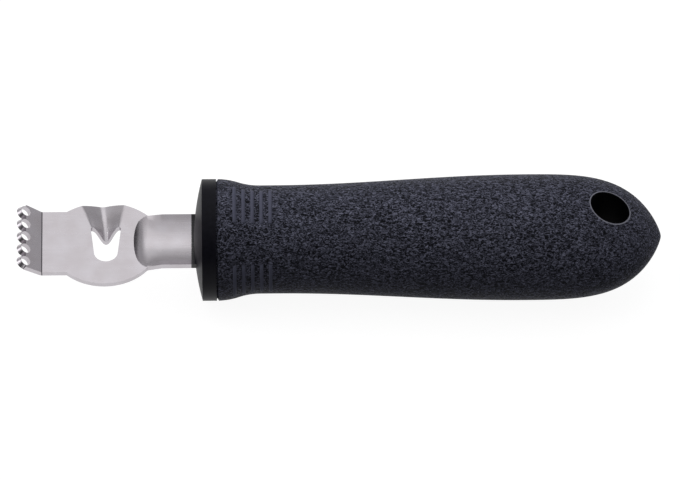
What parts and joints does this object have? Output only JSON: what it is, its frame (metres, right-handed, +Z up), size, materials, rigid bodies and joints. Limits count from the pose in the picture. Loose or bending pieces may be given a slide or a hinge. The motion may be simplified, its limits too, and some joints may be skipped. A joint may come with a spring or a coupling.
{
  "type": "citrus zester with channel knife",
  "caption": "Citrus zester: a stamped steel blade with a row of small sharp rings at its bent tip and a channel knife on one side, in a round soft-grip handle with a hanging hole.",
  "frame": {"origin": "middle of the bounding box in plan, on the lowest point of the handle", "axes": "+X along the handle from the ringed tip to the tail, +Z up on the side that the ringed tip bends to, +Y to the side that carries the gutter of the channel knife"},
  "size_m": [0.1548, 0.0314, 0.0293],
  "materials": {
    "blade_steel": "satin stainless sheet, fine brushed, with bright ground ring edges",
    "core_plastic": "smooth satin black hard plastic",
    "grip_rubber": "fine pebble grained soft black elastomer"
  },
  "bodies": {
    "root": {"blade": "blade_steel", "handle_core": "core_plastic", "soft_grip": "grip_rubber"}
  },
  "joints": []
}
